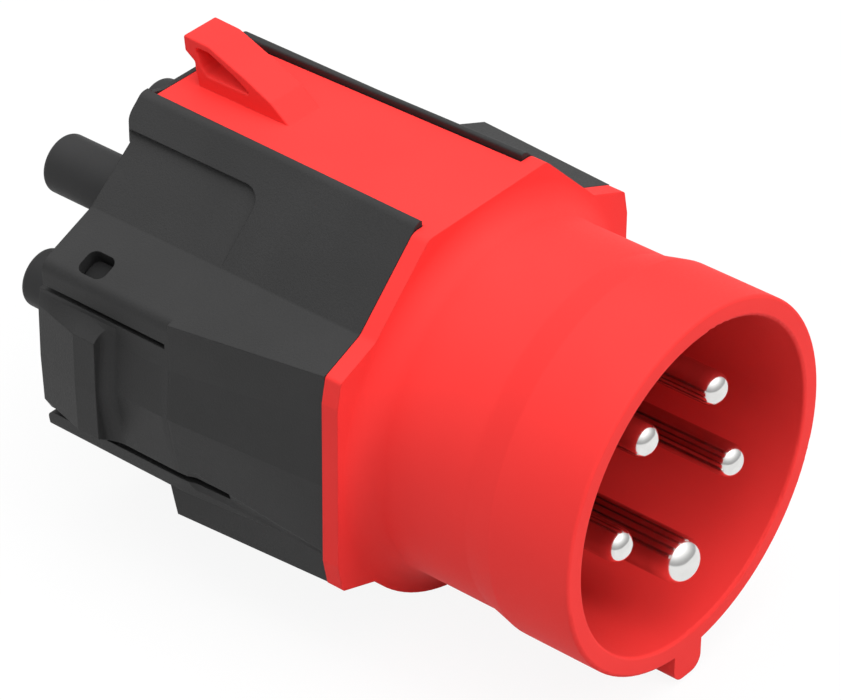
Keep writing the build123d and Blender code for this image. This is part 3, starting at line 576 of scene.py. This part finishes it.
def lathe_values(node_name):
    """Values of the lathe's inputs for one node of the frame."""
    low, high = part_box(node_name)
    return {
        "Axis X": (low[0] + high[0]) / 2,
        "Axis Z": (low[2] + high[2]) / 2,
        "Steps": TURN_STEPS,
        "Corner Steps": CORNER_STEPS,
        "Crisp Angle": CRISP_ANGLE,
        "Finish": node_finishes[node_name],
    }


def turn_part(name, profile, node_name, body):
    """Turned piece that replaces a node of the frame, on the node's own axis."""
    line = bpy.data.meshes.new(name + "_profile")
    links = [(spot, spot + 1) for spot in range(len(profile) - 1)]
    line.from_pydata([(radius, y, 0) for radius, y, _ in profile], links, [])
    corner = line.attributes.new("corner", "FLOAT", "POINT")
    corner.data.foreach_set("value", [rounding for _, _, rounding in profile])
    holder = bpy.data.objects.new(name + "_profile", line)
    bpy.context.scene.collection.objects.link(holder)
    turning = holder.modifiers.new("lathe", "NODES")
    turning.node_group = lathe
    values = lathe_values(node_name)
    for socket in lathe.interface.items_tree:
        if socket.name in values:
            turning[socket.identifier] = values[socket.name]
    evaluated = holder.evaluated_get(bpy.context.evaluated_depsgraph_get())
    mesh = bpy.data.meshes.new_from_object(evaluated)
    bpy.data.objects.remove(holder)
    piece = bpy.data.objects.new(name, mesh)
    bpy.context.scene.collection.objects.link(piece)
    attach(piece, body)
    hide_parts(node_name)
    return piece


# %% [markdown]
# ## Profile of a pin
# A pin is a bar with a domed tip. Where it enters the carrier it gets thinner, and its rear
# end is bored as a crimp barrel for the wire. The dome is a corner with a rounding nearly as
# large as the radius, which leaves the small flat that a turned tip has. The pin's shoulder
# is flush with the front of the carrier, so its place is read from the carrier's box.

# %% Pin
TIP_ROUND_SHARE = 0.85
CRIMP_R = 2.1 * MM
CRIMP_BORE_R = 1.1 * MM
CRIMP_BORE_DEPTH = 5.5 * MM
TURNED_EDGE = 0.12 * MM


def pin_profile(pole):
    """Domed pin, and the thinner shank that ends as a crimp barrel."""
    low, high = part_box("pin_" + pole)
    radius = (high[0] - low[0]) / 2
    shoulder_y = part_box("pin_carrier")[0][1]
    return [
        (0, low[1], 0),
        (radius, low[1], radius * TIP_ROUND_SHARE),
        (radius, shoulder_y, TURNED_EDGE),
        (CRIMP_R, shoulder_y, 0),
        (CRIMP_R, high[1], TURNED_EDGE),
        (CRIMP_BORE_R, high[1], TURNED_EDGE),
        (CRIMP_BORE_R, high[1] - CRIMP_BORE_DEPTH, 0),
        (0, high[1] - CRIMP_BORE_DEPTH, 0),
    ]


# %% [markdown]
# ## Profile of a contact
# The contact sits inside its sleeve. Its front end is crimped on the wire like a pin's rear
# end, a flange rests in front of the sleeve, and the tube behind is bored for the mating pin.
# The bore is a mount of the object, so its radius and depth come from the record.

# %% Contact
CONTACT_R = 2.9 * MM
CONTACT_FLANGE_T = 2.0 * MM
MOUTH_ROUND = 0.3 * MM


def contact_profile(pole):
    """Crimp barrel, flange in front of the sleeve, and bored tube."""
    low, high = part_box("contact_" + pole)
    flange_r = (high[0] - low[0]) / 2
    flange_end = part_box("sleeve_" + pole)[0][1]
    flange_start = flange_end - CONTACT_FLANGE_T
    bore = mounts["rear_socket_" + pole]["dims"]
    bore_r = bore["r_mm"] * MM
    bore_end = high[1] - bore["length_mm"] * MM
    return [
        (0, low[1] + CRIMP_BORE_DEPTH, 0),
        (CRIMP_BORE_R, low[1] + CRIMP_BORE_DEPTH, 0),
        (CRIMP_BORE_R, low[1], TURNED_EDGE),
        (CRIMP_R, low[1], TURNED_EDGE),
        (CRIMP_R, flange_start, 0),
        (flange_r, flange_start, TURNED_EDGE),
        (flange_r, flange_end, TURNED_EDGE),
        (CONTACT_R, flange_end, 0),
        (CONTACT_R, high[1], TURNED_EDGE),
        (bore_r, high[1], MOUTH_ROUND),
        (bore_r, bore_end, 0),
        (0, bore_end, 0),
    ]


# %% [markdown]
# ## Profile of a sleeve
# A sleeve is a moulded tube with a collar at its front, which keeps it from slipping out of
# the rear carrier, and a well rounded rear end. Its profile returns to its first corner, so
# the bore is part of the same closed skin.

# %% Sleeve
SLEEVE_R = 4.65 * MM
SLEEVE_BORE_R = 2.95 * MM
SLEEVE_COLLAR_T = 2.2 * MM
SLEEVE_ROUND = 1.0 * MM
MOULDED_EDGE = 0.2 * MM


def sleeve_profile(pole):
    """Sleeve with its collar, closed on itself so that the bore is there too."""
    low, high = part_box("sleeve_" + pole)
    collar_r = (high[0] - low[0]) / 2
    collar_end = low[1] + SLEEVE_COLLAR_T
    return [
        (SLEEVE_BORE_R, low[1], 0),
        (collar_r, low[1], MOULDED_EDGE),
        (collar_r, collar_end, MOULDED_EDGE),
        (SLEEVE_R, collar_end, 0),
        (SLEEVE_R, high[1], SLEEVE_ROUND),
        (SLEEVE_BORE_R, high[1], MOUTH_ROUND),
        (SLEEVE_BORE_R, low[1], 0),
    ]


# %% [markdown]
# ## Five poles
# Three phases, neutral and earth each have a pin, a contact and a sleeve. The names of the
# poles are read from the pins in the frame. The earth pin is thicker, and it needs no case of
# its own, because each profile takes its widest radius and its ends from its node's box.

# %% Turn them for every pole
PROFILES = {"pin": pin_profile, "contact": contact_profile, "sleeve": sleeve_profile}
poles = [name.removeprefix("pin_") for name in frame["nodes"]
         if name.startswith("pin_") and name != "pin_carrier"]
turned = [turn_part(f"turned_{kind}_{pole}", profile(pole), f"{kind}_{pole}", "body")
          for kind, profile in PROFILES.items() for pole in poles]
print("turned", len(turned), "parts,", sum(len(piece.data.polygons) for piece in turned), "faces")

# %% [markdown]
# ## Flexing tongues
# The solids turn on a hinge with a fine seam in front of it, but the real latch is a tongue
# of the housing's own wall that bends at its root. Each one is rebuilt from its solid, whose
# loose triangles are joined first: the front edges of its catch pad get a small round, the
# root is cut into short lengths so that it can bend, and the front is opened and carried on
# over the seam by a skin that lies just on the housing's side. The pad's front face is the
# catch, a mount in the record, and the other values below are sizes of the steps.

# %% Steps on a tongue
WELD_GAP = 0.0005 * MM
FLAT_ANGLE = math.radians(0.5)
PAD_Y = mounts["catch_right"]["pos_m"][1]
PAD_INNER_X = 35.2 * MM
PAD_EDGE_WIDTH = 0.35 * MM
PAD_EDGE_STEPS = 2
PAD_EDGE_FULLNESS = 0.6
BEND_END_Y = 74 * MM
BEND_CUTS = 8
TONGUE_DEPTH = 0.5 * MM
SKIN_LENGTH = 0.7 * MM
SKIN_LIFT = 0.012 * MM


def joined_mesh(node_name):
    """Copy of a node's mesh with its triangles joined and its flat faces whole."""
    tongue = bmesh.new()
    tongue.from_mesh(frame["nodes"][node_name].data)
    bmesh.ops.remove_doubles(tongue, verts=tongue.verts, dist=WELD_GAP)
    bmesh.ops.dissolve_limit(tongue, angle_limit=FLAT_ANGLE, verts=tongue.verts, edges=tongue.edges)
    return tongue


def soften_pad(tongue):
    """Small round on the edges of the catch pad's front face."""
    front = [edge for edge in tongue.edges
             if all(abs(v.co.y - PAD_Y) < WELD_GAP for v in edge.verts)
             and max(abs(v.co.x) for v in edge.verts) > PAD_INNER_X]
    bmesh.ops.bevel(tongue, geom=front, offset=PAD_EDGE_WIDTH, segments=PAD_EDGE_STEPS,
                    profile=PAD_EDGE_FULLNESS, affect="EDGES", clamp_overlap=True)


def cut_for_bending(tongue, front_y):
    """Cross cuts from the seam to the end of the bend."""
    for cut in range(1, BEND_CUTS + 1):
        cut_y = front_y + (BEND_END_Y - front_y) * cut / BEND_CUTS
        whole = tongue.verts[:] + tongue.edges[:] + tongue.faces[:]
        bmesh.ops.bisect_plane(tongue, geom=whole, plane_co=(0, cut_y, 0), plane_no=(0, 1, 0))


def carry_over_seam(tongue, front_y, wall_x, outwards):
    """Open the front, and draw its outer rim forward as a skin on the housing's side."""
    front_limit = front_y + WELD_GAP
    cap = [face for face in tongue.faces if max(v.co.y for v in face.verts) < front_limit]
    bmesh.ops.delete(tongue, geom=cap, context="FACES_ONLY")
    rim = [edge for edge in tongue.edges if edge.is_boundary
           and all(abs(v.co.x) > wall_x and v.co.y < front_limit for v in edge.verts)]
    skin = bmesh.ops.extrude_edge_only(tongue, edges=rim)["geom"]
    for part in skin:
        if isinstance(part, bmesh.types.BMVert):
            part.co += Vector((outwards * SKIN_LIFT, -SKIN_LENGTH, 0))


# %% [markdown]
# ## A tongue in place of each latch
# The finished tongue takes the place of its latch's solid, which is hidden. Faces that meet at a
# small angle are shaded as one surface, so that the cuts don't show.

# %% Latches rebuilt as tongues
CREASE_ANGLE = math.radians(14)


def flexing_latch(node_name):
    """Tongue rebuilt from a latch's solid, in place of its node."""
    low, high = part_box(node_name)
    outwards = 1 if low[0] > 0 else -1
    inner_x = min(abs(low[0]), abs(high[0]))
    front_y = low[1]
    tongue = joined_mesh(node_name)
    soften_pad(tongue)
    cut_for_bending(tongue, front_y)
    carry_over_seam(tongue, front_y, inner_x + TONGUE_DEPTH, outwards)
    bmesh.ops.recalc_face_normals(tongue, faces=tongue.faces)
    mesh = bpy.data.meshes.new("flexing_" + node_name)
    tongue.to_mesh(mesh)
    tongue.free()
    mesh.shade_smooth()
    mesh.set_sharp_from_angle(angle=CREASE_ANGLE)
    mesh.materials.clear()
    mesh.materials.append(node_finishes[node_name])
    piece = bpy.data.objects.new("flexing_" + node_name, mesh)
    bpy.context.scene.collection.objects.link(piece)
    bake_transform(piece)
    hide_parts(node_name)
    return piece


for latch in ("latch_right", "latch_left"):
    piece = flexing_latch(latch)
    print(piece.name, len(piece.data.polygons), "faces")

# %% [markdown]
# ## Light
# The picture has the even light of a product shot in a tent: a dome that is brightest right
# above and dim at the horizon, and a pale table that throws some of it back up. Floor and
# dome are painted by the kind of ray that meets them. The camera sees plain white, with a
# small share of lit floor in it that carries the soft shadow. Reflections see a pale floor
# and a dome from grey to white, as bright metal and satin plastic show them. All other rays
# meet the floor and the dome that light the object.

# %% Choose by the kind of ray
WHITE = (1, 1, 1, 1)


def by_ray(tree, output_kind, lighting, reflected, seen):
    """Output with one shader for the light, one for reflections and one for the camera."""
    ray = tree.nodes.new("ShaderNodeLightPath")
    unseen = tree.nodes.new("ShaderNodeMixShader")
    chosen = tree.nodes.new("ShaderNodeMixShader")
    output = tree.nodes.new(output_kind)
    tree.links.new(ray.outputs["Is Glossy Ray"], unseen.inputs["Fac"])
    tree.links.new(lighting, unseen.inputs[1])
    tree.links.new(reflected, unseen.inputs[2])
    tree.links.new(ray.outputs["Is Camera Ray"], chosen.inputs["Fac"])
    tree.links.new(unseen.outputs["Shader"], chosen.inputs[1])
    tree.links.new(seen, chosen.inputs[2])
    tree.links.new(chosen.outputs["Shader"], output.inputs["Surface"])


# %% [markdown]
# ## Floor paint
# A floor that is really white would throw too much light on the underside, and a grey one
# would look grey. So it is a mid grey for the light, and nearly plain white to the eye.

# %% Paint the floor
FLOOR_BOUNCE = (0.55, 0.55, 0.55, 1)
FLOOR_LIT = (0.85, 0.85, 0.85, 1)
WHITE_SHARE = 0.91
MIRRORED_FLOOR = 0.86


def floor_paint():
    """Nearly white where it is seen, pale in reflections, and a mid grey for the light."""
    material = bpy.data.materials.new("studio_white")
    material.use_nodes = True
    tree = material.node_tree
    tree.nodes.clear()
    thrown = add_node(tree, "ShaderNodeBsdfDiffuse", Color=FLOOR_BOUNCE)
    mirrored = add_node(tree, "ShaderNodeEmission", Color=WHITE, Strength=MIRRORED_FLOOR)
    lit = add_node(tree, "ShaderNodeBsdfDiffuse", Color=FLOOR_LIT)
    white = add_node(tree, "ShaderNodeEmission", Color=WHITE, Strength=1.0)
    pale = add_node(tree, "ShaderNodeMixShader", Fac=WHITE_SHARE)
    tree.links.new(lit.outputs["BSDF"], pale.inputs[1])
    tree.links.new(white.outputs["Emission"], pale.inputs[2])
    by_ray(tree, "ShaderNodeOutputMaterial", thrown.outputs["BSDF"],
           mirrored.outputs["Emission"], pale.outputs["Shader"])
    return material


floor.data.materials.append(floor_paint())
print("floor painted, white share", WHITE_SHARE)

# %% [markdown]
# ## Dome
# The dome is the world around the object. Its strength grows with the square of the height
# in the direction of the ray, so the light comes mostly from above, as in a tent with its
# lamps on top, and the sides of the object stay darker than its upper faces.

# %% Hang the dome
DOME_HORIZON = 0.06
DOME_ZENITH = 2.35
MIRRORED_HORIZON = 0.4
MIRRORED_ZENITH = 1.9


def sky(tree, height, horizon, zenith):
    """White light whose strength goes from horizon to zenith with the height."""
    strength = add_node(tree, "ShaderNodeMapRange", To_Min=horizon, To_Max=zenith)
    light = add_node(tree, "ShaderNodeBackground", Color=WHITE)
    tree.links.new(height, strength.inputs["Value"])
    tree.links.new(strength.outputs["Result"], light.inputs["Strength"])
    return light.outputs["Background"]


def studio_dome():
    """Soft dome, brightest straight above. The camera sees it as plain white."""
    world = bpy.data.worlds.new("studio_dome")
    world.use_nodes = True
    tree = world.node_tree
    tree.nodes.clear()
    direction = tree.nodes.new("ShaderNodeTexCoord")
    parts = tree.nodes.new("ShaderNodeSeparateXYZ")
    squared = tree.nodes.new("ShaderNodeMath")
    squared.operation = "MULTIPLY"
    tree.links.new(direction.outputs["Generated"], parts.inputs[0])
    tree.links.new(parts.outputs["Z"], squared.inputs[0])
    tree.links.new(parts.outputs["Z"], squared.inputs[1])
    height = squared.outputs["Value"]
    white = add_node(tree, "ShaderNodeBackground", Color=WHITE, Strength=1.0)
    by_ray(tree, "ShaderNodeOutputWorld", sky(tree, height, DOME_HORIZON, DOME_ZENITH),
           sky(tree, height, MIRRORED_HORIZON, MIRRORED_ZENITH), white.outputs["Background"])
    return world


bpy.context.scene.world = studio_dome()
print("dome from", DOME_HORIZON, "at the horizon to", DOME_ZENITH, "at the top")

# %% [markdown]
# ## Lamps
# Two soft lamps give the even light a direction: a wide one overhead, and one in front and
# above that shines into the collar. Reflections don't see them, because the dome already
# shows there, and a bright square in each pin's tip would be one that the picture lacks.

# %% Two soft lamps
TOP_LAMP_PLACE = (-0.1, -0.1, 0.8)
TOP_LAMP_SIZE = 0.6
TOP_LAMP_POWER = 1.3
COLLAR_LAMP_PLACE = (0.1, -0.65, 0.48)
COLLAR_LAMP_SIZE = 0.3
COLLAR_LAMP_POWER = 2.3


def area_lamp(name, place, target, size, power):
    """Square lamp at a place in metres that faces a target."""
    data = bpy.data.lights.new(name, "AREA")
    data.size = size
    data.energy = power
    lamp = bpy.data.objects.new(name, data)
    bpy.context.scene.collection.objects.link(lamp)
    lamp.location = place
    lamp.visible_glossy = False
    lamp.rotation_euler = (target - lamp.location).to_track_quat("-Z", "Y").to_euler()
    print(name, "shines with", power, "watts")


low_corner, high_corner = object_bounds()
middle = (low_corner + high_corner) / 2
area_lamp("top_lamp", TOP_LAMP_PLACE, middle, TOP_LAMP_SIZE, TOP_LAMP_POWER)
area_lamp("collar_lamp", COLLAR_LAMP_PLACE, middle, COLLAR_LAMP_SIZE, COLLAR_LAMP_POWER)
bpy.context.scene.view_settings.view_transform = "Standard"
